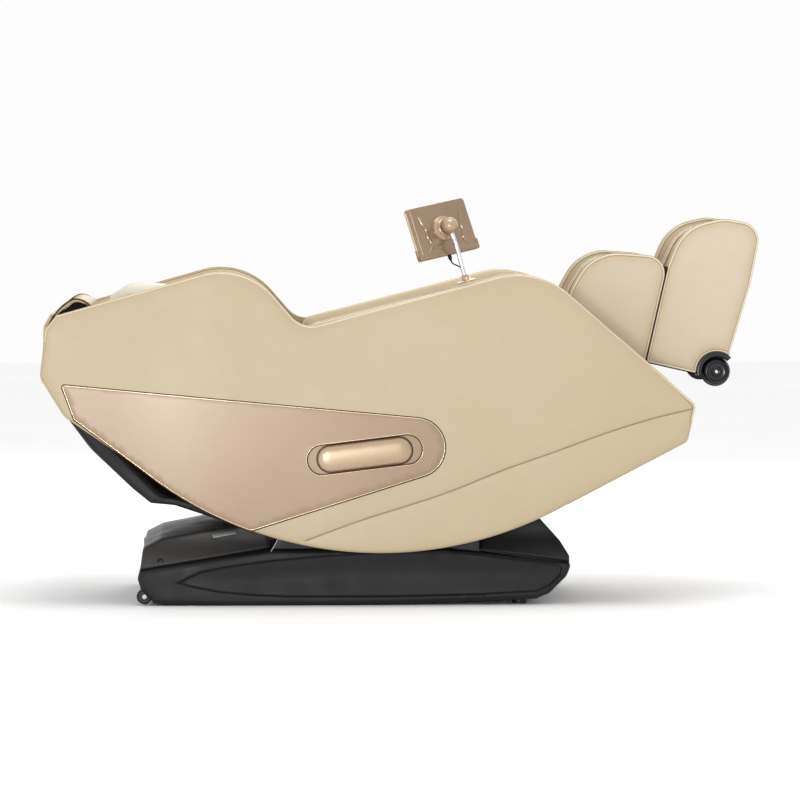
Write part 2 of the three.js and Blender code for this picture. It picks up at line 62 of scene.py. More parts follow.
def set_camera():
    """A long lens, square on to the side with the remote and a little above the seat."""
    camera = bpy.data.objects.new("camera", bpy.data.cameras.new("camera"))
    bpy.context.scene.collection.objects.link(camera)
    camera.location = CAMERA_PLACE
    aim = Vector(CAMERA_AIM) - camera.location
    camera.rotation_mode = "QUATERNION"
    camera.rotation_quaternion = aim.to_track_quat("-Z", "Y")
    camera.data.lens = 198.8
    camera.data.sensor_width = 36
    camera.data.clip_end = 100
    bpy.context.scene.camera = camera


# ---------------------------------------------------------------- materials
def linear(r, g, b):
    """A linear colour from 0 to 255 display values."""
    return tuple(
        (c / 255 / 12.92 if c < 10.3 else ((c / 255 + 0.055) / 1.055) ** 2.4) for c in (r, g, b)
    ) + (1,)


class Shader:
    """A principled material whose inputs are wired up in a few calls."""

    def __init__(self, name, **values):
        self.material = bpy.data.materials.new(name)
        self.material.use_nodes = True
        self.tree = self.material.node_tree
        self.main = self.tree.nodes["Principled BSDF"]
        self.place = self.tree.nodes.new("ShaderNodeTexCoord").outputs["Object"]
        self.normal = None
        self.set(self.main, values)

    def set(self, node, values):
        for key, value in values.items():
            socket = node.inputs[key.replace("_", " ")]
            if isinstance(value, bpy.types.NodeSocket):
                self.tree.links.new(value, socket)
            else:
                socket.default_value = value
        return node

    def node(self, kind, settings=None, **values):
        made = self.tree.nodes.new("ShaderNode" + kind)
        for key, value in (settings or {}).items():
            setattr(made, key, value)
        return self.set(made, values)

    def noise(self, scale, detail=3.0, rough=0.5, stretch=None):
        place = self.place
        if stretch:
            place = self.node("Mapping", Vector=place, Scale=stretch).outputs[0]
        return self.node("TexNoise", Vector=place, Scale=scale, Detail=detail, Roughness=rough).outputs["Fac"]

    def range(self, value, low, high, start=0.3, end=0.7):
        mapped = self.node("MapRange", Value=value)
        for socket, number in zip(mapped.inputs[1:5], (start, end, low, high)):
            socket.default_value = number
        return mapped.outputs[0]

    def mix(self, amount, first, second):
        mixed = self.tree.nodes.new("ShaderNodeMix")
        mixed.data_type = "RGBA"
        for socket, value in (
            (mixed.inputs["Factor"], amount), (mixed.inputs[6], first), (mixed.inputs[7], second)
        ):
            if isinstance(value, bpy.types.NodeSocket):
                self.tree.links.new(value, socket)
            else:
                socket.default_value = value
        return mixed.outputs[2]

    def bump(self, height, distance, strength=1.0):
        bump = self.node("Bump", Height=height, Distance=distance, Strength=strength)
        if self.normal:
            self.tree.links.new(self.normal, bump.inputs["Normal"])
        self.normal = bump.outputs[0]
        self.tree.links.new(self.normal, self.main.inputs["Normal"])


GLOSS = 0.3  # plastic smoother than this counts as polished


def hide(name, light, dark, rough=0.46, rim=0.5):
    """Smooth coated leather with a pebbled grain, a cloudy tone and slight creasing.

    rim is how strong the edge attribute has to be for the full deeper tone beside a seam, a painted shade
    where the crowned face turns away.
    """
    s = Shader(name, Specular_IOR_Level=0.42, Coat_Weight=0.06, Coat_Roughness=0.35)
    cloud = s.range(s.noise(2.6, 4), 0, 1)
    fine = s.range(s.noise(42, 4), 0, 0.14)
    tone = s.mix(cloud, linear(*light), linear(*dark))
    worn = tuple(c * 0.86 for c in linear(*dark)[:3]) + (1,)
    edge = s.node("Attribute", {"attribute_name": "edge"}).outputs["Fac"]
    # a deeper, browner tone painted beside the seams as shade, where the crowned faces turn away from the
    # light
    edge_shade_tone = tuple(c * k for c, k in zip(linear(*dark)[:3], (0.8, 0.68, 0.5))) + (1,)
    s.set(s.main, {"Base_Color": s.mix(s.range(edge, 0, rim, 0, 1), s.mix(fine, tone, worn), edge_shade_tone)})
    s.set(s.main, {"Roughness": s.range(s.noise(9, 5), rough - 0.05, rough + 0.09)})
    pebble = s.node("TexVoronoi", {"feature": "SMOOTH_F1"}, Vector=s.place, Scale=620.0).outputs["Distance"]
    s.bump(pebble, 0.00022, 0.55)
    s.bump(s.noise(16, 5, 0.55), 0.0016, 0.35)
    return s.material


def moulded(name, light, dark, rough=0.42, spark=1500.0, depth=0.00012):
    """Moulded plastic with a fine spark-eroded texture and handling marks; a smooth one reflects more."""
    s = Shader(name, Specular_IOR_Level=0.28 if rough > GLOSS else 0.5)
    s.set(s.main, {"Base_Color": s.mix(s.range(s.noise(5, 5), 0, 1), linear(*light), linear(*dark))})
    s.set(s.main, {"Roughness": s.range(s.noise(14, 6), rough - 0.06, rough + 0.1)})
    s.bump(s.noise(spark, 2), depth, 0.6)
    return s.material


def metal(name, light, dark, rough, brushed=(1, 1, 1), scale=260.0, coat=0.0):
    """Metal, or metallic lacquer when it has a coat; the brushing runs along the least stretched axis."""
    s = Shader(name, Metallic=0.4 if coat else 1.0, Coat_Weight=coat, Coat_Roughness=0.28)
    s.set(s.main, {"Base_Color": s.mix(s.range(s.noise(3.2, 4), 0, 1), linear(*light), linear(*dark))})
    streaks = s.noise(scale, 4, 0.6, brushed)
    s.set(s.main, {"Roughness": s.range(streaks, rough * 0.8, rough * 1.25)})
    s.bump(streaks, 0.00004, 0.4)
    return s.material


def tyre(name):
    s = Shader(name, Specular_IOR_Level=0.3, Coat_Weight=0.15, Coat_Roughness=0.25)
    s.set(
        s.main, {"Base_Color": s.mix(s.range(s.noise(30, 5), 0, 1), linear(13, 13, 15), linear(22, 22, 24))}
    )
    s.set(s.main, {"Roughness": s.range(s.noise(60, 4), 0.3, 0.5)})
    s.bump(s.noise(400, 3), 0.0001, 0.5)
    return s.material


MAT = {
    "shell": hide("shell_leather", (185, 171, 141), (180, 165, 134), 0.44, 0.3),
    "leg": hide("leg_leather", (200, 188, 164), (195, 182, 157), 0.46, 0.85),
    "inner": hide("inner_leather", (190, 175, 144), (184, 168, 136), 0.5),
    "channel": hide("channel_leather", (172, 148, 112), (164, 139, 103), 0.52),
    "pillow": hide("pillow_leather", (206, 202, 186), (200, 194, 176), 0.52),
    "piping": hide("piping_leather", (218, 207, 182), (212, 199, 172), 0.4),
    # dark tan for stitches and seams, also painted shade along the gussets of the leg walls
    "seam": hide("seam_and_gusset_shade_leather", (152, 129, 94), (142, 118, 84), 0.6),
    "rose": metal("rose_gold_lacquer", (146, 121, 93), (138, 113, 85), 0.42, (1, 1, 1), 900.0, 1.0),
    "tablet": metal("tablet_lacquer", (150, 126, 98), (132, 107, 80), 0.22, (1, 1, 1), 700.0, 1.0),
    "badge": metal("badge_lacquer", (182, 156, 126), (168, 141, 110), 0.28, (1, 1, 6), 500.0, 0.9),
    # pale metal trim round the accent panel and badge; on the tablet's left side it is also painted
    # highlights
    "trim": metal("champagne_trim", (232, 214, 188), (214, 192, 162), 0.2, (1, 1, 8)),
    # a dark brown metal line: the head flap's binding, and painted shade in the grooves round the accent
    # panel and the badge
    "bronze": metal("bronze_line", (96, 72, 50), (74, 54, 38), 0.45),
    "black": moulded("black_plastic", (27, 27, 29), (21, 21, 23), 0.46),
    # a lighter copy of the black plastic for the rear hood: its extra lightness is a painted sheen
    "hood": moulded("hood_plastic_with_painted_sheen", (58, 56, 54), (50, 48, 46), 0.4),
    "soft_black": moulded("fairing_plastic", (36, 38, 43), (28, 30, 35), 0.38),
    "gap": moulded("shadow_gap", (20, 17, 14), (13, 11, 10), 0.8),
    "glossy_black": moulded("gloss_black", (14, 14, 18), (9, 9, 12), 0.2, 300.0, 0.00002),
    "tyre": tyre("tyre"),
    "steel": metal("zinc_steel", (176, 178, 180), (150, 152, 156), 0.42, (1, 1, 12)),
    "chrome": metal("chrome", (232, 233, 236), (206, 208, 212), 0.09, (1, 1, 10)),
    "glass": moulded("screen_glass", (12, 13, 17), (9, 10, 13), 0.08, 120.0, 0.00001),
    "cable": moulded("cable_sheath", (16, 16, 17), (11, 11, 12), 0.5),
}


# ---------------------------------------------------------------- outlines
def unit(v):
    return v / np.linalg.norm(v, axis=-1, keepdims=True)


def rounded(corners, length=5.0):
    """A closed, counter-clockwise outline of [x, z, corner radius] corners, each rounded by an arc."""
    points = []
    count = len(corners)
    for i, corner in enumerate(corners):
        here = np.array(corner[:2], float)
        radius = corner[2] if len(corner) > 2 else 0
        if not radius:
            points.append(here)
            continue
        back = unit(np.array(corners[i - 1][:2], float) - here)
        ahead = unit(np.array(corners[(i + 1) % count][:2], float) - here)
        half = math.acos(np.clip(back @ ahead, -1, 1)) / 2
        centre = here + unit(back + ahead) * radius / math.sin(half)
        start = here + back * radius / math.tan(half) - centre
        end = here + ahead * radius / math.tan(half) - centre
        first = math.atan2(start[1], start[0])
        turn = (math.atan2(end[1], end[0]) - first + math.pi) % (2 * math.pi) - math.pi
        steps = max(3, math.ceil(abs(turn) * radius / length))
        for k in range(steps + 1):
            a = first + turn * k / steps
            points.append(centre + radius * np.array([math.cos(a), math.sin(a)]))
    points = np.array(points)
    x, z = points.T
    area = np.sum(x * np.roll(z, -1) - np.roll(x, -1) * z)
    return points if area > 0 else points[::-1]


def oblong(centre, width, height, radius, length=5.0):
    """A rounded rectangle."""
    (x, z), w, h = centre, width / 2, height / 2
    corners = [[x - w, z - h, radius], [x + w, z - h, radius], [x + w, z + h, radius], [x - w, z + h, radius]]
    return rounded(corners, length)


def divided(points, spacing, closed=True):
    """The same line with no stretch longer than spacing."""
    out = []
    ends = np.roll(points, -1, 0) if closed else points[1:]
    for a, b in zip(points, ends):
        steps = max(1, math.ceil(np.linalg.norm(b - a) / spacing))
        out += [a + (b - a) * k / steps for k in range(steps)]
    if not closed:
        out.append(points[-1])
    return np.array(out)


def inset(loop, distance):
    """A counter-clockwise outline moved inwards."""
    ahead = unit(np.roll(loop, -1, 0) - loop)
    behind = np.roll(ahead, 1, 0)
    a = np.stack([-behind[:, 1], behind[:, 0]], 1)
    b = np.stack([-ahead[:, 1], ahead[:, 0]], 1)
    bend = np.maximum(1 + np.sum(a * b, 1, keepdims=True), 0.35)
    return loop + distance * (a + b) / bend


def distance_to(points, line, closed=True):
    """How far each point is from a line."""
    a = line if closed else line[:-1]
    b = np.roll(line, -1, 0) if closed else line[1:]
    best = np.full(len(points), 1e9)
    for start in range(0, len(a), 64):
        p, q = a[start : start + 64], b[start : start + 64]
        span = q - p
        t = np.einsum("ijk,jk->ij", points[:, None] - p, span) / np.maximum(np.sum(span**2, 1), 1e-9)
        near = p + np.clip(t, 0, 1)[..., None] * span
        best = np.minimum(best, np.linalg.norm(points[:, None] - near, axis=2).min(1))
    return best


def inside(points, loop):
    """Which points are inside a closed line."""
    x, z = points.T
    found = np.zeros(len(points), bool)
    for (ax, az), (bx, bz) in zip(loop, np.roll(loop, -1, 0)):
        if az == bz:
            continue
        crosses = ((az > z) != (bz > z)) & (x < (bx - ax) * (z - az) / (bz - az) + ax)
        found ^= crosses
    return found


def depth_in(points, loop):
    """How far each point is inside a closed line; negative outside it."""
    return np.where(inside(points, loop), 1, -1) * distance_to(points, loop)


def smooth(t):
    t = np.clip(t, 0, 1)
    return t * t * (3 - 2 * t)


# ---------------------------------------------------------------- meshes
EDGE_SHADE_REACH = 11  # how far in from a seam the leather's deeper tone, a painted shade, fades, in millimetres
CRISP = 32  # the angle in degrees above which a CAD node's edge stays crisp
SEWN_ROWS = (-5.5, -3, -1.2, 0, 1.2, 3, 5.5)  # offsets of the rows of points that follow a crease
CREASE_CLEAR = 9  # how far the even points keep from a crease


def shade_smooth(mesh, sharp):
    mesh.polygons.foreach_set("use_smooth", [True] * len(mesh.polygons))
    mesh.set_sharp_from_angle(angle=math.radians(sharp))


def make(name, verts, faces, material, body, matrix=None, sharp=38):
    """A piece that rides body; edges that turn by more than sharp degrees stay crisp."""
    mesh = bpy.data.meshes.new(name)
    mesh.from_pydata([tuple(v) for v in verts], [], faces)
    mesh.materials.append(MAT[material])
    if matrix is not None:
        mesh.transform(matrix)
    shade_smooth(mesh, sharp)
    mesh.update()
    made = bpy.data.objects.new(name, mesh)
    bpy.context.scene.collection.objects.link(made)
    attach(made, body)
    return made


def filled(loop, spacing, creases):
    """The points and triangles that fill a loop evenly, with rows of points along the creases."""
    low, high = loop.min(0), loop.max(0)
    xs = np.arange(low[0], high[0], spacing)
    zs = np.arange(low[1], high[1], spacing * 0.87)
    grid = np.array([(x + (j % 2) * spacing / 2, z) for j, z in enumerate(zs) for x in xs])
    grid = grid[inside(grid, loop)]
    grid = grid[distance_to(grid, loop) > spacing * 0.6]
    rows = []
    for line, closed in creases:
        grid = grid[distance_to(grid, line, closed) > CREASE_CLEAR]
        ahead = unit(
            (np.roll(line, -1, 0) if closed else np.gradient(line, axis=0)) - (line if closed else 0)
        )
        normal = np.stack([-ahead[:, 1], ahead[:, 0]], 1)
        rows += [line + normal * k for k in SEWN_ROWS]
    if rows:
        rows = np.concatenate(rows)
        rows = rows[inside(rows, loop)]
        rows = rows[distance_to(rows, loop) > 1.5]
        grid = np.concatenate([grid, rows])
    points = np.concatenate([loop, grid])
    count = len(loop)
    edges = [(i, (i + 1) % count) for i in range(count)]
    flat, _, faces, origin, _, _ = delaunay_2d_cdt([Vector(p) for p in points], edges, [], 1, 1e-4)
    where = {}
    extra = []
    for k, sources in enumerate(origin):
        if sources:
            where[k] = sources[0]
        else:
            where[k] = len(points) + len(extra)
            extra.append(np.array(flat[k]))
    if extra:
        points = np.concatenate([points, extra])
    return points, [tuple(where[i] for i in face) for face in faces]


def in_metres(verts, faces, flip):
    """The mesh in metres, mirrored to the other side of the chair where flip is set."""
    verts = np.array(verts) * MM
    if flip:
        verts[:, 1] *= -1
        faces = [face[::-1] for face in faces]
    return verts, faces


def panel(
    name, outline, front, back, material, body, edge=(8, 0), spacing=16, creases=(), matrix=None, flip=False
):
    """A panel between two surfaces.

    front and back give y from x, z and the distance to the outline. edge is how far the front and back edges
    are rounded over. flip mirrors the panel to the other side of the chair.
    """
    loop = divided(outline, spacing * 0.75)
    verts, faces, starts, depths = [], [], [], []
    for side, (surface, radius) in enumerate(((front, edge[0]), (back, edge[1]))):
        outward = -1 if side == 0 else 1
        rings = 6 if radius > 5 else 4
        steps = [math.pi / 2 * k / rings for k in range(rings + 1)] if radius else [math.pi / 2]
        first = []
        ring = loop
        for angle in steps:
            depth = radius * (1 - math.cos(angle))
            ring = inset(loop, depth) if radius else loop
            drop = radius * (1 - math.sin(angle))
            y = surface(ring[:, 0], ring[:, 1], np.full(len(ring), depth)) - outward * drop
            first.append(len(verts))
            verts += list(np.stack([ring[:, 0], y, ring[:, 1]], 1))
            depths += [depth] * len(ring)
        count = len(loop)
        for a, b in zip(first, first[1:]):
            for i in range(count):
                j = (i + 1) % count
                quad = (a + i, a + j, b + j, b + i)
                faces.append(quad if side == 0 else quad[::-1])
        points, triangles = filled(ring, spacing, creases if side == 0 else ())
        inner = points[count:]
        base = len(verts)
        if len(inner):
            far = distance_to(inner, loop)
            y = surface(inner[:, 0], inner[:, 1], far)
            verts += list(np.stack([inner[:, 0], y, inner[:, 1]], 1))
            depths += list(far)
        last = first[-1]
        for face in triangles:
            ids = tuple(last + i if i < count else base + i - count for i in face)
            faces.append(ids if side == 0 else ids[::-1])
        starts.append(first[0])
    for i in range(len(loop)):
        j = (i + 1) % len(loop)
        faces.append((starts[0] + j, starts[0] + i, starts[1] + i, starts[1] + j))
    made = make(name, *in_metres(verts, faces, flip), material, body, matrix)
    # edge is strongest at the outline and drives the painted shade beside the seams in the leather
    edge_shade_amount = np.exp(-np.array(depths) / EDGE_SHADE_REACH)
    made.data.attributes.new("edge", "FLOAT", "POINT").data.foreach_set("value", edge_shade_amount)
    return made


def flat(y):
    """A surface at one y."""
    return lambda x, z, d: np.full(len(x), float(y))


def crowned(y, rise, reach):
    """A face at y that swells away from its outline; rise is negative for a face that looks to -y."""
    return lambda x, z, d: y + rise * (1 - np.exp(-d / reach))


def tube(name, points, radius, material, body, matrix=None, closed=False, sides=10, flip=False):
    """A round bar or bead along a line of points in millimetres."""
    line = np.array(points, float)
    ahead = np.roll(line, -1, 0) - np.roll(line, 1, 0) if closed else np.gradient(line, axis=0)
    ahead = unit(ahead)
    across = np.array([0.0, 1.0, 0.0])
    if abs(ahead[0] @ across) > 0.9:
        across = np.array([1.0, 0.0, 0.0])
    verts, faces = [], []
    for p, t in zip(line, ahead):
        u = unit(across - t * (across @ t))
        v = np.cross(t, u)
        across = u
        for k in range(sides):
            a = 2 * math.pi * k / sides
            verts.append(p + radius * (u * math.cos(a) + v * math.sin(a)))
    count = len(line)
    for i in range(count if closed else count - 1):
        a, b = i * sides, ((i + 1) % count) * sides
        faces += [(a + k, a + (k + 1) % sides, b + (k + 1) % sides, b + k) for k in range(sides)]
    if not closed:
        faces.append(tuple(range(sides))[::-1])
        faces.append(tuple((count - 1) * sides + k for k in range(sides)))
    return make(name, *in_metres(verts, faces, flip), material, body, matrix)


def along(loop, y, inward=0.0, spacing=6.0):
    """A line that follows an outline, moved inwards; y is a number or a surface."""
    line = inset(divided(loop, spacing), inward)
    depth = y(line[:, 0], line[:, 1]) if callable(y) else np.full(len(line), float(y))
    return np.stack([line[:, 0], depth, line[:, 1]], 1)


def beads(name, loop, trims, body, matrix=None, flip=False, spacing=6.0):
    """Closed cords along an outline: (part, y or surface, how far inwards, radius, material) for each."""
    for part, y, inward, radius, material in trims:
        path = along(loop, y, inward, spacing)
        tube(name.format(part), path, radius, material, body, matrix, True, flip=flip)


def lathe(name, profile, centre, material, body, axis=(0, 1, 0), sides=64, sharp=34):
    """Turned round axis from (radius, along) pairs in millimetres; centre is in metres."""
    axis = Vector(axis).normalized()
    turn = UP.rotation_difference(axis).to_matrix()
    verts, faces = [], []
    for k in range(sides):
        a = 2 * math.pi * k / sides
        rim = [Vector((r * math.cos(a), r * math.sin(a), h)) for r, h in profile]
        verts += [tuple(turn @ point * MM + Vector(centre)) for point in rim]
    count = len(profile)
    for k in range(sides):
        a, b = k * count, ((k + 1) % sides) * count
        for i in range(count - 1):
            quad = [a + i, b + i, b + i + 1, a + i + 1]
            if profile[i][0] < 1e-6:
                quad = [a + i, b + i + 1, a + i + 1]
            elif profile[i + 1][0] < 1e-6:
                quad = [a + i, b + i, a + i + 1]
            faces.append(tuple(quad))
    return make(name, verts, faces, material, body, sharp=sharp)


def middle(node):
    """The centre of a CAD node's box."""
    low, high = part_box(node)
    return (low + high) / 2


def dressed(node, material, bevel=0.0):
    """Keeps a CAD node's own shape, with a finish and, where it is boxy, softened edges."""
    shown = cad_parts[node]
    shown.data.materials.clear()
    shown.data.materials.append(MAT[material])
    shade_smooth(shown.data, CRISP)
    if bevel:
        soften = shown.modifiers.new("edges", "BEVEL")
        soften.width = bevel * MM
        soften.segments = 3
        soften.limit_method = "ANGLE"
        soften.angle_limit = math.radians(CRISP)
        soften.use_clamp_overlap = True


def stands_for(made, *nodes):
    """Hides the CAD nodes behind the piece that shows them, and returns the piece."""
    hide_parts(*nodes)
    return made


# ---------------------------------------------------------------- floor base
TUB = [
    [-530, 66, 20], [-524, 86, 4], [-208, 136, 60], [215, 138, 60], [519, 103, 4], [522, 92, 12],
    [512, 68, 30], [470, 27, 30], [438, 14, 12], [200, 6, 60], [10, 0], [-320, 0], [-492, 5, 3],
    [-494, 10, 3], [-521, 36, 16],
]
LENS = [
    [-431, 56], [-404, 70], [-377, 82], [-317, 94], [-216, 108], [-59, 122], [80, 128], [193, 129],
    [270, 124], [400, 108], [490, 97], [500, 90], [495, 72], [470, 48], [440, 34], [300, 26], [94, 22],
    [-155, 22], [-250, 26], [-333, 34], [-395, 46],
]
REAR_HOOD = [
    [-523.6, 86.4], [-517, 138, 14], [-474, 160, 40], [-377, 179, 60], [-296, 190, 60], [-216, 200, 4],
    [-208, 137.2],
]
FRONT_HOOD = [
    [300, 131], [300, 160, 4], [410, 236, 8], [432, 226, 10], [497, 154, 30], [519, 118, 14], [519, 103]
]
FAIRING = [[-208, 137], [-180, 177, 5], [60, 176, 60], [299, 168, 4], [299, 130], [215, 139.5], [0, 139]]

# turned parts, as (radius, distance along the axis)
SCREW = [(0, -3), (4.5, -3), (4.5, 0.2), (6.4, 0.8), (7, 0)]
REAR_TYRE = [
    (5.4, -12), (9, -12), (10, -10.5), (14, -10.5), (16, -12), (18, -11), (19, -8), (19, 8), (18, 11),
    (16, 12), (14, 10.5), (10, 10.5), (9, 12), (5.4, 12),
]
REAR_CAP = [(5.8, -3), (5.8, 0), (5.2, 1.2), (3.6, 1.8), (2.4, 3), (0, 3.2)]
TUB_FACE, HOOD_FACE, FAIRING_FACE, FAIRING_BACK = -310, -299, -304, -286  # y of each face on the near side


def floor_base():
    lens = divided(np.array(LENS, float), 8)

    def side(x, z, d):
        within = depth_in(np.stack([x, z], 1), lens)
        dip = 7 * smooth((within + 2.5) / 5) + 7 * smooth(within / 46)
        taper = 10 * smooth((x - 380) / 140) ** 2 + 10 * smooth((-430 - x) / 100) ** 2
        return TUB_FACE + dip + taper

    tub, rim = rounded(TUB), [(lens, True)]
    for name, flip in SIDES:
        half = panel(f"tub_{name}", tub, side, flat(0), "black", "base", (13, 0), 17, rim, flip=flip)
        if not flip:
            stands_for(half, "base_tub")
    slant = lambda start: lambda x, z, d: HOOD_FACE + 34 * smooth((z - start) / 70)
    hoods = (("rear_hood", REAR_HOOD, 92, "hood"), ("front_hood", FRONT_HOOD, 108, "black"))
    for name, outline, start, material in hoods:
        loop, face = rounded(outline), slant(start)
        for side_name, flip in SIDES:
            hood = panel(f"{name}_{side_name}", loop, face, flat(0), material, "base", (9, 0), flip=flip)
            stands_for(hood, f"base_{name}")
    for name, flip in SIDES:
        near, far = flat(FAIRING_FACE), flat(FAIRING_BACK)
        fairing = panel(
            f"fairing_{name}", rounded(FAIRING), near, far, "soft_black", "base", (2.5, 0), flip=flip
        )
        stands_for(fairing, f"base_fairing_{name}")
        lip = [(-207, -305, 131), (-200, -305, 142), (-191, -305, 160), (-180, -304, 177)]
        tube(f"fairing_lip_{name}", lip, 1.3, "steel", "base", flip=flip)
        run = np.linspace(262, 516, 24)
        edge = [(x, HOOD_FACE + 10 * smooth((x - 380) / 140) ** 2, 139 - 37 * ((x - 262) / 256)) for x in run]
        tube(f"deck_edge_{name}", edge, 1.6, "soft_black", "base", flip=flip)
        sign = 1 if flip else -1
        seat = (-0.474, sign * 0.2955, 0.108)
        lathe(f"hood_screw_{name}", SCREW, seat, "gap", "base", (0, sign, 0), 24)
        rear_wheel(name, sign)
    hood_label()
    dressed("rear_wheel_axle", "steel")
    dressed("tilt_stand", "steel", 0.6)
    dressed("tilt_actuator", "black", 2)
    dressed("tilt_actuator_rod", "chrome")
    dressed("control_box", "black", 4)
    inlet()


def hood_label():
    """A small blank plate set into the slanted near side of the rear hood."""
    plate = rounded([[-348, -11, 2], [-290, -11, 2], [-290, 0, 2], [-348, 0, 2]])
    place = Matrix.Translation((0, -0.2845, 0)) @ Matrix.Translation((-0.319, 0, 0.1735))
    place = place @ Matrix.Rotation(math.radians(-10.4), 4, "Y") @ Matrix.Rotation(math.radians(-26), 4, "X")
    place = place @ Matrix.Translation((0.319, 0, 0.0055))
    return panel("hood_label", plate, flat(-1.2), flat(0), "steel", "base", (0.6, 0), 12, matrix=place)


def rear_wheel(name, sign):
    centre = middle(f"rear_wheel_{name}")
    wheel = lathe(f"rear_tyre_{name}", REAR_TYRE, centre, "tyre", f"rear_wheel_{name}", sides=48)
    stands_for(wheel, f"rear_wheel_{name}")
    face = centre + Vector((0, sign * 0.0125, 0))
    hub = lathe(f"rear_hub_{name}", REAR_CAP, face, "steel", f"rear_wheel_{name}", (0, sign, 0), 32)


def inlet():
    """Mains socket with its three blades in a recess, and a rocker switch beside it."""
    low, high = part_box("power_inlet")
    y0, y1, z0, z1 = (v / MM for v in (low.y, high.y, low.z, high.z))
    turn = Matrix.Rotation(math.radians(90), 4, "Z")
    place = Matrix.Translation((low.x, (low.y + high.y) / 2, (low.z + high.z) / 2)) @ turn.inverted()
    w, h = (y1 - y0) / 2, (z1 - z0) / 2
    face = oblong((0, 0), w * 2, h * 2, 3)
    well = divided(
        rounded([[-15, -11, 3], [15, -11, 3], [15, 7, 6], [9, 11, 4], [-9, 11, 4], [-15, 7, 6]]), 4
    )

    def front(x, z, d):
        return 9 * smooth((depth_in(np.stack([x, z], 1), well) + 0.4) / 0.8)

    socket = panel(
        "inlet_socket", face, front, flat(14), "black", "base", (1.4, 0), 4, [(well, True)], matrix=place
    )
    stands_for(socket, "power_inlet")
    for k, (x, z) in enumerate(((-7, -1), (0, 3), (7, -1))):
        blade = oblong((x, z), 2.4, 6, 0.4, 1)
        made = panel(f"inlet_blade_{k}", blade, flat(2), flat(12), "steel", "base", (0.4, 0), 2, matrix=place)
    dressed("power_switch", "glossy_black", 2)


# ---------------------------------------------------------------- side panels
CRADLE = {"centre": (60.0, 1050.0), "radius": 918.5}


def cradle_arc(start, end, steps, shrink=0.0):
    """The round underside of the seat body between two x."""
    centre, radius = np.array(CRADLE["centre"]), CRADLE["radius"] - shrink
    a0, a1 = (-math.acos((x - centre[0]) / radius) for x in (start, end))
    angles = np.linspace(a0, a1, steps + 1)
    return [list(centre + radius * np.array([math.cos(a), math.sin(a)])) for a in angles]


SIDE_PANEL = [
    [-748, 672, 8], [-722, 705, 10], [-270, 831.6, 170], [-130.3, 671.4, 62], [435.4, 822.4, 190],
    [820, 488, 18], [799, 399, 22], [512.5, 249.2], *cradle_arc(505, -510, 110), [-704, 462, 45],
    [-762, 556, 35],
]
ACCENT = [[-708, 537, 4], [492, 424.5, 70], [-252, 189.5], *cradle_arc(-258, -508, 40, 1.5), [-678, 456]]
SEAM = [(-136, 158), (-14, 203), (231, 283), (353, 332), (475, 375), (629, 430), (720, 457), (812, 479)]
BADGE = {"x": 19, "z": 370, "rise": 6.9}


def curve(points, spacing=6.0):
    """A smooth line through a few points."""
    p = np.array(points, float)
    along = np.concatenate([[0], np.cumsum(np.linalg.norm(np.diff(p, axis=0), axis=1))])
    slope = np.gradient(p, along, axis=0)
    out = []
    for i in range(len(p) - 1):
        span = along[i + 1] - along[i]
        for t in np.linspace(0, 1, max(2, int(span / spacing)), endpoint=False):
            h = (2 * t**3 - 3 * t**2 + 1, t**3 - 2 * t**2 + t, -2 * t**3 + 3 * t**2, t**3 - t**2)
            out.append(h[0] * p[i] + h[1] * span * slope[i] + h[2] * p[i + 1] + h[3] * span * slope[i + 1])
    return np.array(out + [p[-1]])


def badge_oval(length, height):
    """A long oval on the badge's middle, tilted with it."""
    a = math.radians(BADGE["rise"])
    turn = np.array([[math.cos(a), math.sin(a)], [-math.sin(a), math.cos(a)]])
    spun = oblong((0, 0), length, height, height / 2 - 0.5, 2.5) @ turn
    return divided(spun + [BADGE["x"], BADGE["z"]], 5)


def side_face(x, z):
    """The gentle double curve that the side panel, its accent panel and the badge all follow."""
    head = smooth((-300 - x) / 470) ** 1.5
    foot = smooth((x - 480) / 380)
    rim = ((z - 470) / 360) ** 2
    return -372.5 + 17 * head + 5 * foot + 5 * np.minimum(rim, 1.4)


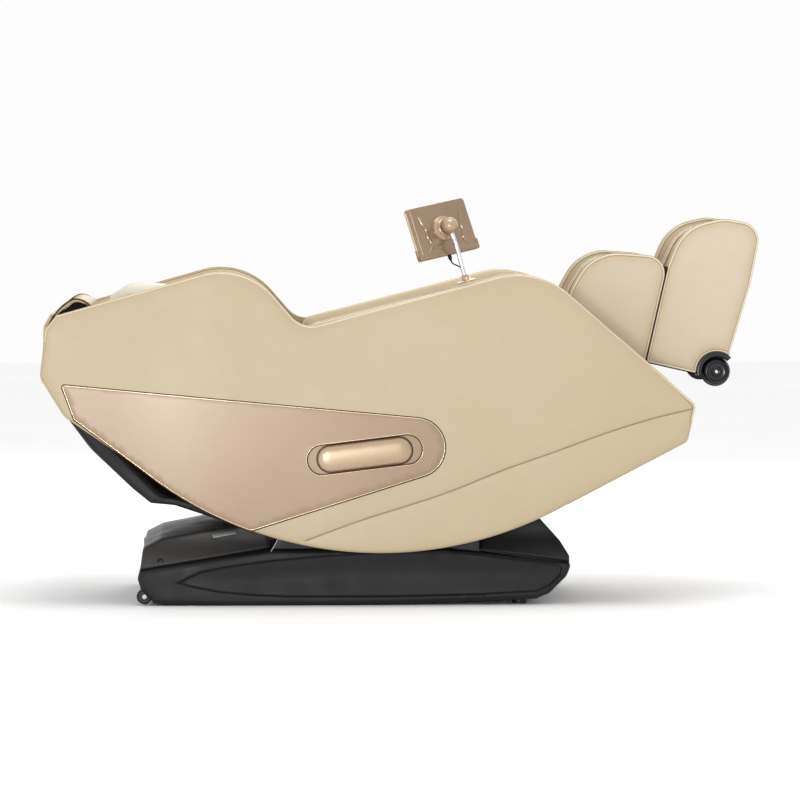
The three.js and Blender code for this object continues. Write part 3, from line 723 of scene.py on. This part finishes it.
def side_panels():
    seam = curve(SEAM)
    slot_line = badge_oval(281, 74)
    plan = rounded(ACCENT, 3.5)
    accent = divided(plan, 8)

    def leather(x, z, d):
        p = np.stack([x, z], 1)
        groove = 1.5 * np.exp(-((distance_to(p, seam, False) / 2.0) ** 2))
        swell = -2.2 * (1 - np.exp(-distance_to(p, seam, False) / 22))
        tuck = 5.8 * smooth((depth_in(p, accent) + 3) / 5)
        return side_face(x, z) + 2.2 + groove + swell + tuck

    def lacquer(x, z, d):
        within = depth_in(np.stack([x, z], 1), slot_line)
        return side_face(x, z) - 0.6 + 4.4 * smooth((within + 1) / 2.2)

    body = "seat_body"
    outline = rounded(SIDE_PANEL)
    creases = [(seam, False), (accent, True)]
    behind = lambda x, z, d: side_face(x, z) + 7
    pillow = lambda x, z, d: side_face(x, z) + 1.4 - 4.6 * (1 - np.exp(-d / 9))
    raised = lambda lift: lambda x, z: side_face(x, z) - lift
    # the dark brown cords among these lines are painted shade: in the crease round the accent panel, at the
    # foot of the badge slot's wall, and in the gap round the badge plate
    lines = (
        (accent, "accent_bead", raised(0.5), -0.2, 1.3, "trim"),
        (accent, "accent_groove", raised(-0.4), -2.7, 1.35, "bronze"),
        (slot_line, "badge_rim", raised(0.9), -0.6, 0.9, "trim"),
        (slot_line, "badge_edge", raised(0.3), 1.4, 1.4, "bronze"),
        (badge_oval(231, 65), "badge_shadow", raised(-2.0), 0, 1.6, "bronze"),
    )
    edgings = (("welt", 3.4, -4.2, 2.1, "piping"), ("stitch", 7.2, -1.3, 0.8, "seam"))
    for name, flip in SIDES:
        shell = panel(
            f"shell_{name}", outline, leather, flat(-330), "shell", body, (9, 2), 15, creases, flip=flip
        )
        stands_for(shell, f"side_panel_{name}")
        around = [(slot_line, True)]
        plate = panel(f"accent_{name}", plan, lacquer, behind, "rose", body, (1.6, 0), 13, around, flip=flip)
        stands_for(plate, f"accent_panel_{name}")
        for loop, *trim in lines:
            beads(f"{{}}_{name}", loop, [trim], body, flip=flip)
        for part, inward, lift, radius, material in edgings:
            edge = along(outline, raised(lift), inward)
            edge = edge[edge[:, 2] > 545 - edge[:, 0] / 8]  # only the upper edge is welted
            tube(f"shell_{part}_{name}", edge, radius, material, body, flip=flip)
        sewn = np.stack([seam[:, 0], side_face(seam[:, 0], seam[:, 1]) + 2.5, seam[:, 1]], 1)
        tube(f"shell_seam_{name}", sewn[2:-1], 0.6, "seam", body, flip=flip)
        oval = badge_oval(226, 60)
        badge = panel(f"badge_plate_{name}", oval, pillow, flat(-367), "badge", body, (2, 0), 7, flip=flip)
        stands_for(badge, f"badge_{name}")


# ---------------------------------------------------------------- armrests and covers
ARMREST = [
    [-120, 677, 30], [435.4, 819, 188], [762, 540, 20], [735, 470, 30], [600, 436, 40], [380, 420, 60],
    [120, 372, 60], [-120, 372, 10],
]
WING = [
    [-742, 668, 8], [-718, 702, 10], [-270, 827, 168], [-140, 674, 20], [-126, 400, 10], [-300, 262, 30],
    [-466, 300, 30], [-690, 506, 20], [-748, 560, 24],
]
REAR_COVER = [
    [-696, 455, 8], [-642, 383, 200], [-540, 286, 200], [-497, 251, 14], [-440, 246, 60], [-317, 205, 10],
    [-150, 300, 10], [-140, 330, 8], [-300, 236, 30], [-470, 272, 60], [-672, 478, 8],
]
BACK_PANEL = [
    [-696, 480, 4], [-744, 565, 40], [-747.5, 672, 20], [-733, 702, 3], [-738, 709, 4], [-757, 676, 24],
    [-760, 562, 40], [-712, 476, 6],
]
APRON = [[498, 592, 3], [607, 472, 24], [602, 440, 3], [595, 440, 3], [599, 470, 20], [496, 583, 3]]


PAD_OUTER, PAD_INNER = -329, -231  # y of the faces of the armrest and shoulder wing
SEAT_HALF = 229  # half of the width between them, less a little play


def covers():
    body = "seat_body"
    sides = flat(-SEAT_HALF)
    bulge = lambda x, z, d: PAD_OUTER + 9 * smooth((z - 250) / 200)
    for name, flip in SIDES:
        for piece, outline, rise, inner in (
            ("armrest", ARMREST, 7, "piping"), ("shoulder_wing", WING, 8, "seam")
        ):
            loop = rounded(outline)
            near, far = flat(PAD_OUTER), crowned(PAD_INNER, rise, 40)
            pad = panel(f"{piece}_pad_{name}", loop, near, far, "inner", body, (5, 22), 18, flip=flip)
            stands_for(pad, f"{piece}_{name}")
            trims = (
                ("piping", -253.5, 0.0, 2.4, inner), ("stitch", -258.5, 0.4, 1.1, "seam"),
                ("welt", -325, 0.6, 2.4, "piping"),
            )
            beads(f"{piece}_{{}}_{name}", loop, trims, body, flip=flip)
        dark = panel(
            f"rear_cover_{name}", rounded(REAR_COVER), bulge, flat(0), "black", body, (14, 0), 18, flip=flip
        )
        stands_for(dark, "rear_cover")
        back = panel(
            f"back_panel_{name}", rounded(BACK_PANEL), sides, flat(0), "shell", body, (4, 0), 12, flip=flip
        )
        stands_for(back, "back_panel")
        apron = panel(f"apron_{name}", rounded(APRON), sides, flat(0), "black", body, (2, 0), 12, flip=flip)
        stands_for(apron, "front_apron")
    for node in ("seat_frame", "back_frame", "track_rail_left", "track_rail_right"):
        dressed(node, "steel", 0.8)
    dressed("massage_carriage", "black", 1.5)
    for side in ("left", "right"):
        dressed(f"kneading_arm_{side}", "soft_black", 1)
        for place in ("upper", "lower"):
            roller(f"kneading_roller_{place}_{side}", f"roller_{place}_{side}")


ROLLER = [
    (5.6, -9), (12, -9), (13, -8), (18, -8.6), (21, -6), (22, -2), (22, 2), (21, 6), (18, 8.6), (13, 8),
    (12, 9), (5.6, 9),
]


def roller(node, body):
    made = lathe(f"{node}_body", ROLLER, middle(node), "tyre", body, sides=40)
    stands_for(made, node)


# ---------------------------------------------------------------- cushions
HIP = Vector((-0.045, 0, 0.515))
BACK = Matrix.Translation(HIP) @ Matrix.Rotation(math.radians(17.5), 4, "Y")
SEAT = Matrix.Translation(HIP - Vector((0, 0, 0.005))) @ Matrix.Rotation(math.radians(-19.1), 4, "Y")


VOXEL = 0.0065  # size of the cushions' even mesh, in metres
CLOTH_STEPS = 14
TOP_DEPTH = 0.045  # how far below its top a cushion still counts as its upper face, in metres


def stuffed(name, outline, half, rounding, matrix, material, pressure, cap, channels):
    """A cushion inflated by a short cloth simulation, its swelling held to cap.

    Each channel sewn in afterwards is (axis, place, depth, width), in millimetres.
    """
    made = panel(
        name, rounded(outline), flat(-half), flat(half), material, "seat_body", (rounding, rounding), 18
    )
    cover = made.modifiers.new("even", "REMESH")
    cover.mode = "VOXEL"
    cover.voxel_size = VOXEL
    bpy.context.view_layer.objects.active = made
    bpy.ops.object.modifier_apply(modifier="even")
    rest = np.array([v.co for v in made.data.vertices])
    cloth = made.modifiers.new("cloth", "CLOTH")
    cloth.settings.quality = 4
    cloth.settings.use_pressure = True
    cloth.settings.uniform_pressure_force = pressure
    cloth.settings.tension_stiffness = 12
    cloth.settings.bending_stiffness = 2
    cloth.settings.effector_weights.gravity = 0
    cloth.point_cache.frame_start, cloth.point_cache.frame_end = 1, CLOTH_STEPS
    scene = bpy.context.scene
    for step in range(1, CLOTH_STEPS + 1):
        scene.frame_set(step)
    bpy.ops.object.modifier_apply(modifier="cloth")
    scene.frame_set(1)
    now = np.array([v.co for v in made.data.vertices])
    shift = now - rest
    length = np.linalg.norm(shift, axis=1, keepdims=True)
    now = rest + shift * np.minimum(1, cap * MM / np.maximum(length, 1e-9))
    top = rest[:, 2] > rest[:, 2].max() - TOP_DEPTH
    for axis, at, depth, width in channels:
        gap = np.abs(rest[:, axis] / MM - at)
        sink = depth * np.exp(-((gap / width) ** 2)) + depth * 0.6 * np.exp(-((gap / (width * 4)) ** 2))
        now[:, 2] -= np.where(top, sink, 0) * MM
    made.data.vertices.foreach_set("co", now.ravel())
    made.data.transform(matrix)
    made.data.materials.clear()
    made.data.materials.append(MAT[material])
    made.data.polygons.foreach_set("use_smooth", [True] * len(made.data.polygons))
    finer = made.modifiers.new("finer", "SUBSURF")
    finer.levels = finer.render_levels = 1
    return made


HEAD_FLAP = [
    [-716, -64, 3], [-711, -20, 30], [-676, 28, 30], [-636, 28, 14], [-618, 0.4, 3], [-628, 0.4, 3],
    [-641, 20, 8], [-672, 20, 24], [-703, -22, 24], [-708, -64, 3],
]


# outline of a dark sheet of painted shade under the head flap
FLAP_SHADE_SHEET = [
    [-704, -40, 2], [-700, -20, 10], [-673, 18, 20], [-642, 18, 6], [-632, 2, 2], [-664, 2, 4],
    [-694, -34, 4],
]
FLAP_EDGE = [(-713, -60), (-708, -22), (-694, 6), (-674, 25), (-650, 26), (-634, 20)]
BACK_PAD = [[-2, -2, 22], [-2, -56, 22], [-676, -56, 24], [-676, -6, 24], [-610, -1, 60]]
SEAT_PAD = [[6, -2, 22], [6, -60, 22], [506, -60, 22], [518, -2, 28]]
HEAD_PAD = [[-368, 2, 16], [-370, 68, 50], [-445, 125, 80], [-576, 86, 50], [-609, 2, 20]]


def cushions():
    channels = [(0, -190, 7, 4), (0, -385, 7, 4), (1, -118, 6, 4), (1, 118, 6, 4)]
    back = stuffed("back_pad", BACK_PAD, 224, 20, BACK, "inner", 3.0, 9, channels)
    stands_for(back, "back_cushion")
    channels = [(0, 170, 7, 4), (0, 340, 7, 4), (1, 0, 6, 4)]
    seat = stuffed("seat_pad", SEAT_PAD, 224, 20, SEAT, "inner", 3.0, 9, channels)
    stands_for(seat, "seat_cushion")
    pillow = stuffed("head_pad", HEAD_PAD, 146, 26, BACK, "pillow", 3.0, 8, [(1, -74, 4, 4), (1, 74, 4, 4)])
    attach(pillow, "head_pillow")
    stands_for(pillow, "head_pillow")
    flap = panel(
        "flap", rounded(HEAD_FLAP, 3), flat(-221), flat(221), "shell", "seat_body", (2.5, 2.5), 8, matrix=BACK
    )
    stands_for(flap, "head_flap")
    for name, y in (("right", -220), ("left", 220)):
        edge = [(p[0], y, p[1]) for p in curve(FLAP_EDGE, 4)]
        tube(f"flap_binding_{name}", edge, 2.2, "bronze", "seat_body", BACK)
    # a dark sheet under the head flap: painted shade that closes the view through the arch beneath it
    flap_shade_outline = rounded(FLAP_SHADE_SHEET, 3)
    made = panel("flap_shade_sheet", flap_shade_outline, flat(-214), flat(214), "gap", "seat_body", (1, 1), 10, matrix=BACK)


# ---------------------------------------------------------------- leg rest
LEG = Matrix.Translation((0.7113, 0, 0.5866)) @ Matrix.Rotation(math.radians(12.8), 4, "Y")
CALF = [[-217, 0, 12], [-1, 0, 8], [-1, 262, 46], [-187, 234, 110], [-217, 130, 90]]
CALF_MIDDLE = [[-212, 50, 8], [-4, 50, 8], [-4, 254, 40], [-180, 232, 100], [-212, 130, 70]]
FOOT = [[1, 0, 8], [192, 0, 8], [208, 240, 300], [203, 387, 46], [110, 383, 90], [18, 340, 110], [1, 240, 90]]
FOOT_MIDDLE = [[4, 50, 8], [184, 50, 8], [196, 378, 40], [110, 376, 86], [22, 335, 105], [4, 238, 85]]
SOLE = [[160, 4, 2], [190, 4, 2], [206, 240, 300], [204, 356, 14], [176, 356, 13], [172, 240, 200]]
WHEEL = (175, 14)
NOTCH = 50  # radius of the round notch over the wheel
WALL_OUTER, WALL_INNER, DIVIDER = 215, 158, 30  # distances from the middle of the leg rest
FOOT_TYRE = [
    (6.5, -14), (22, -14), (24, -12.5), (26, -13.5), (30.5, -12), (32.5, -8.5), (32.5, 8.5), (30.8, 12.6),
    (28.4, 14.4), (26.6, 13.6), (25.6, 12.4),
]
FOOT_DISH = [
    (6.4, 6), (6.4, 8.8), (8.6, 9.4), (9.6, 11), (11, 11.6), (12.2, 11), (13.2, 9.4), (16, 9.2), (21.2, 10.6),
    (22.8, 12.6), (24.6, 12.8), (25.8, 12.2),
]
FOOT_CAP = [(6, 8.4), (5.4, 10.2), (4.2, 12), (2.2, 13.2), (0, 13.4)]
FENDER_PLATE = [(0, -3), (36.5, -3), (36.5, 1), (8, 1), (7.4, 2), (6, 2), (6, 27), (0, 27)]


def notched(outline):
    """The foot wall's outline with the wheel's round notch taken out of its lower corner."""
    loop = divided(rounded(outline, 4), 5)
    centre = np.array(WHEEL, float)
    outside = np.linalg.norm(loop - centre, axis=1) > NOTCH + 0.3
    first = next(i for i in range(len(loop)) if outside[i] and not outside[(i + 1) % len(loop)])
    loop = np.roll(loop, -(first + 1), 0)
    kept = loop[np.roll(outside, -(first + 1))]
    a = math.atan2(*(kept[-1] - centre)[::-1])
    b = math.atan2(*(kept[0] - centre)[::-1])
    while b > a:
        b -= 2 * math.pi
    arc = [centre + NOTCH * np.array([math.cos(t), math.sin(t)]) for t in np.linspace(a, b, 26)[1:-1]]
    return np.concatenate([kept, arc])


def upholstered(name, outline, outer, inner, body, node, swell=5.0):
    """A padded wall: crowned faces, a gusset between them and piping on both edges of it."""
    near, far = min(outer, inner), max(outer, inner)
    loop = outline if isinstance(outline, np.ndarray) else rounded(outline, 4)
    faces = crowned(near + 3.5, 1.5 - swell, 20), crowned(far - 3.5, swell - 1.5, 20)
    wall = panel(name, loop, *faces, "leg", body, (7, 7), 13, matrix=LEG)
    stands_for(wall, node)
    for k, (y, way) in enumerate(((near + 5, 1), (far - 5, -1))):
        # the gusset cord on each side is dark: painted shade along the gusset between the two faces
        trims = (
            ("piping", y, 2.7, 2.5, "piping"), ("stitch", y - way * 1.4, 5.6, 1.0, "seam"),
            ("gusset", y + way * 5.2, 0.2, 1.0, "seam"),
        )
        beads(f"{name}_{{}}_{k}", loop, trims, body, LEG, spacing=5)


def leg_rest():
    for name, sign in (("right", -1), ("left", 1)):
        faces = sign * WALL_OUTER, sign * WALL_INNER
        upholstered(f"calf_wall_{name}", CALF, *faces, "leg_rest", "calf_box")
        upholstered(f"foot_wall_{name}", notched(FOOT), *faces, "foot_rest", "foot_box")
    upholstered("calf_middle", CALF_MIDDLE, -DIVIDER, DIVIDER, "leg_rest", "calf_box", 4)
    upholstered("foot_middle", FOOT_MIDDLE, -DIVIDER, DIVIDER, "foot_rest", "foot_box", 4)
    pads = (
        ("calf_floor", [[-213, 4, 3], [-3, 4, 3], [-3, 64, 6], [-213, 64, 14]], "leg_rest", "calf_box"),
        ("foot_floor", [[3, 4, 3], [180, 4, 3], [180, 64, 6], [3, 64, 6]], "foot_rest", "foot_box"),
        ("sole", SOLE, "foot_rest", "foot_box"),
    )
    sides = flat(-WALL_INNER), flat(WALL_INNER)
    for name, outline, body, node in pads:
        pad = panel(name, rounded(outline, 4), *sides, "channel", body, (1, 1), 13, matrix=LEG)
        stands_for(pad, node)
    for name, x0, x1, body in (("calf_base", -212, -4, "leg_rest"), ("foot_base", 4, 138, "foot_rest")):
        plate = rounded([[x0, -2.5, 1.5], [x1, -2.5, 1.5], [x1, 3, 1], [x0, 3, 1]], 1)
        panel(name, plate, flat(-210), flat(210), "gap", body, (1, 1), 12, matrix=LEG)
    # a dark board where the calf and foot boxes meet: painted shade in the gap between them
    edge = rounded([[-1.3, 5], [0.9, 5], [0.9, 238], [-1.3, 238]], 1)
    sides = flat(-214.4), flat(214.4)
    gap_shade = panel("calf_foot_gap_shade", edge, *sides, "gap", "leg_rest", (0.4, 0.4), 14, matrix=LEG)
    for side, sign in (("right", -1), ("left", 1)):
        foot_wheel(side, sign)
        node = f"sole_roller_{side}"
        ribs = [(14 - 2.6 * abs(math.sin(math.pi * k / 8)), -44 + 88 * k / 64) for k in range(65)]
        profile = [(0, -50), (4, -50), (4, -46), (10, -46), *ribs, (10, 46), (4, 46), (4, 50), (0, 50)]
        made = lathe(f"{node}_body", profile, middle(node), "soft_black", node, sides=32)
        stands_for(made, node)
    dressed("knee_bracket", "steel", 0.6)
    dressed("slide_frame", "chrome")


def foot_wheel(side, sign):
    centre = LEG @ Vector((WHEEL[0] * MM, sign * 0.198, WHEEL[1] * MM))
    body = f"foot_wheel_{side}"
    axis = (0, sign, 0)
    made = lathe(f"{body}_tyre", FOOT_TYRE, centre, "tyre", body, axis, 72)
    stands_for(made, body)
    lathe(f"{body}_dish", FOOT_DISH, centre, "glossy_black", body, axis, 72)
    lathe(f"{body}_cap", FOOT_CAP, centre, "chrome", body, axis, 32)
    fender(side, sign)


def fender(side, sign):
    """A black guard that lines the notch over the wheel, with a rolled outer lip."""
    section = [
        (37.2, 176), (49.4, 176), (49.4, 210), (50.2, 214.5), (48.8, 218), (45.6, 219.3), (41.6, 218.6),
        (38.2, 216.2), (36.4, 212.5), (37.2, 209),
    ]
    a0, a1 = math.radians(204), math.radians(58)
    steps = 40
    verts, faces = [], []
    for k in range(steps + 1):
        a = a0 + (a1 - a0) * k / steps
        for r, y in section:
            verts.append(
                ((WHEEL[0] + r * math.cos(a)) * MM, sign * y * MM, (WHEEL[1] + r * math.sin(a)) * MM)
            )
    count = len(section)
    for k in range(steps):
        for i in range(count):
            j = (i + 1) % count
            faces.append((k * count + i, k * count + j, (k + 1) * count + j, (k + 1) * count + i))
    faces += [tuple(range(count))[::-1], tuple(steps * count + i for i in range(count))]
    if sign < 0:
        faces = [f[::-1] for f in faces]
    made = make(f"fender_{side}", verts, faces, "glossy_black", "foot_rest", LEG)
    stands_for(made, f"wheel_fender_{side}")
    centre = LEG @ Vector((WHEEL[0] * MM, sign * 0.1785, WHEEL[1] * MM))
    plate = lathe(f"fender_plate_{side}", FENDER_PLATE, centre, "black", "foot_rest", (0, sign, 0), 48)


# ---------------------------------------------------------------- touch-screen remote
TABLET = (90, 65)  # half of the tablet's width and height
TABLET_BACK, TABLET_FRONT = 30, 44  # how far its two faces are from the ball's middle
CUP = [
    (31.6, 31), (31, 26), (30, 22.6), (28, 21), (25, 20.6), (23.2, 19.4), (22.4, 16.4), (20, 14.4),
    (15, 14.6), (12, 18),
]
PLUG = [(0, 0.2), (4.6, 0.4), (4.8, 2), (4.8, 8), (4, 9), (3.2, 13), (2.2, 15), (0, 15)]
FLARE = [
    (0, 0), (24, 0), (24.4, 1.4), (23.4, 3), (18.4, 4.2), (14, 6), (11, 8.6), (9.2, 12), (8.4, 16),
    (7.8, 18), (6, 18.6), (0, 18.6),
]
WAVE = [(62, 34), (60, 20), (53, 4), (55, -12), (50, -30), (57, -44)]
CREASE = [(0, -22), (26, -38), (56, -48)]


def remote():
    ball = middle("ball_joint")
    nod, roll, yaw = (math.radians(a) for a in (-9, -12, 35))
    turn = Matrix.Rotation(roll, 4, "Y") @ Matrix.Rotation(yaw, 4, "Z") @ Matrix.Rotation(nod, 4, "X")
    head = Matrix.Translation(ball) @ turn
    w, h = TABLET
    face = oblong((0, 0), w * 2, h * 2, 9, 2)
    waves = [curve([(s * x, z) for x, z in WAVE], 4) for s in (-1, 1)]
    creases = [curve([(s * x, z) for x, z in CREASE], 5) for s in (-1, 1)]

    def moulding(x, z, d):
        p = np.stack([x, z], 1)
        y = TABLET_BACK - 1.4 * smooth((-50 - z) / 4) + 0.012 * np.abs(z + 10)
        for line in waves:
            away = distance_to(p, line, False)
            y = y + 1.6 * np.exp(-((away / 1.5) ** 2)) - 1.2 * np.exp(-(((away - 3) / 1.8) ** 2))
        for line in creases:
            y = y + 1.4 * np.exp(-((distance_to(p, line, False) / 2.2) ** 2))
        return y

    rows = [(line, False) for line in waves + creases]
    shell = panel(
        "tablet_shell", face, moulding, flat(TABLET_FRONT), "tablet", "remote", (5, 2), 6, rows, matrix=head
    )
    stands_for(shell, "remote_housing")
    glass = oblong((0, 0), w * 2 * 0.95, h * 2 * 0.933, 5.6, 2)
    screen = panel("tablet_glass", glass, flat(40), flat(44.9), "glass", "remote", (0, 0.6), 14, matrix=head)
    stands_for(screen, "remote_screen")
    rail = rounded([
        [-w - 2, -h - 1, 5], [w + 2, -h - 1, 5], [w + 2, -h + 25, 3], [w - 5, -h + 25, 3], [w - 8, -h + 9, 4],
        [-w + 8, -h + 9, 4], [-w + 5, -h + 29, 3], [-w - 2, -h + 29, 3],
    ], 2)
    foot = panel("tablet_rail", rail, flat(28.4), flat(45.5), "tablet", "remote", (2.4, 2.4), 8, matrix=head)
    # two pale trim cords down the tablet's left side: painted highlights standing in for the reflections
    # along that edge
    for part, x, y, radius, start in (("edge", -w - 0.2, 37, 2.6, 8), ("gleam", -w + 8, 30.2, 1.3, 7)):
        band = divided(np.array([(x, y, h - start), (x, y, -h + 12)]), 10, False)
        tube(f"tablet_{part}", band, radius, "trim", "remote", head)
    for k, line in enumerate(waves):
        ridge = [(p[0], 30.1 + 0.012 * abs(p[1] + 10), p[1]) for p in line]
        tube(f"tablet_wave_{k}", ridge, 0.75, "trim", "remote", head, sides=8)
    out = (head.to_3x3() @ Vector((0, 1, 0))).normalized()
    lathe("ball_cup", CUP, ball, "badge", "remote", out, 64)
    sphere = [(20 * math.sin(a), -20 * math.cos(a)) for a in np.linspace(0.02, math.pi - 0.02, 40)]
    turned = lathe("ball", sphere, ball, "badge", "remote_ball", sides=64)
    stands_for(turned, "ball_joint")
    plug_at = head @ Vector((0, 0.0375, -h * MM))
    down = (head.to_3x3() @ Vector((0, 0, -1))).normalized()
    plug = lathe("plug", PLUG, plug_at, "cable", "remote", down, 32)
    stands_for(plug, "cable_plug")
    arm(plug_at + down * 0.014, down)


def arm(start, down):
    """The bent chrome arm, its flared foot, and the short lead from the plug into it."""
    foot = Vector((0.267, -0.3, 0.784))
    bend = curve([(262, 802), (252, 839), (241, 877), (232.2, 902)], 5)
    low = Vector((0.2598, -0.3, 0.81))
    line = [(p[0], -300, p[1]) for p in bend]
    bar = tube("arm_tube", line, 5.2, "chrome", "remote_arm", sides=28)
    stands_for(bar, "remote_arm")
    normal = Vector((-math.sin(math.radians(15)), 0, math.cos(math.radians(15))))
    flared = lathe("arm_foot", FLARE, foot, "badge", "seat_body", normal, 64)
    stands_for(flared, "remote_socket")
    end = low + Vector((-0.006, 0.008, 0.008))
    ahead = (end - start).length
    points = []
    for t in (k / 24 for k in range(25)):
        p = (1 - t) ** 3 * start + 3 * t * (1 - t) ** 2 * (start + down * ahead * 0.4)
        p = p + 3 * t * t * (1 - t) * (end + Vector((-0.012, 0.002, ahead * 0.3))) + t**3 * end
        points.append(p / MM)
    lead = tube("lead", points, 1.7, "cable", "remote_arm", sides=12)


# ---------------------------------------------------------------- studio
def studio():
    ground = bpy.data.meshes.new("floor")
    ground.from_pydata([(-14, -16, 0), (14, -16, 0), (14, 14, 0), (-14, 14, 0)], [], [(0, 1, 2, 3)])
    floor = bpy.data.objects.new("floor", ground)
    s = Shader("floor", Roughness=0.85, Specular_IOR_Level=0.2)
    pale, soft = linear(250, 250, 250), linear(244, 244, 244)
    s.set(s.main, {"Base_Color": s.mix(s.range(s.noise(1.2, 3), 0, 0.4), pale, soft)})
    ground.materials.append(s.material)
    bpy.context.scene.collection.objects.link(floor)
    world = bpy.data.worlds.new("studio")
    world.use_nodes = True
    world.node_tree.nodes["Background"].inputs["Color"].default_value = (1, 1, 1, 1)
    world.node_tree.nodes["Background"].inputs["Strength"].default_value = 0.98
    bpy.context.scene.world = world
    bpy.context.scene.view_settings.view_transform = "Standard"
    lamps = (
        ("key", (-0.95, -6.2, 0.55), (-0.4, -0.37, 0.5), 1.0, 75),
        ("top", (0.3, -1.2, 4.6), (0.1, 0, 0.5), 2.4, 60),
        ("back", (0.6, 3.8, 3.0), (0, 0, 0.6), 2.6, 50),
    )
    for name, place, aim, size, power in lamps:
        lamp = bpy.data.lights.new(name, "AREA")
        lamp.size = size
        lamp.energy = power
        made = bpy.data.objects.new(name, lamp)
        made.location = place
        made.rotation_mode = "QUATERNION"
        made.rotation_quaternion = (Vector(aim) - Vector(place)).to_track_quat("-Z", "Y")
        made.visible_camera = False
        bpy.context.scene.collection.objects.link(made)


set_camera()
floor_base()
side_panels()
covers()
cushions()
leg_rest()
remote()
for pad in ("left", "right"):
    dressed(f"foot_pad_{pad}", "tyre", 1.5)
studio()
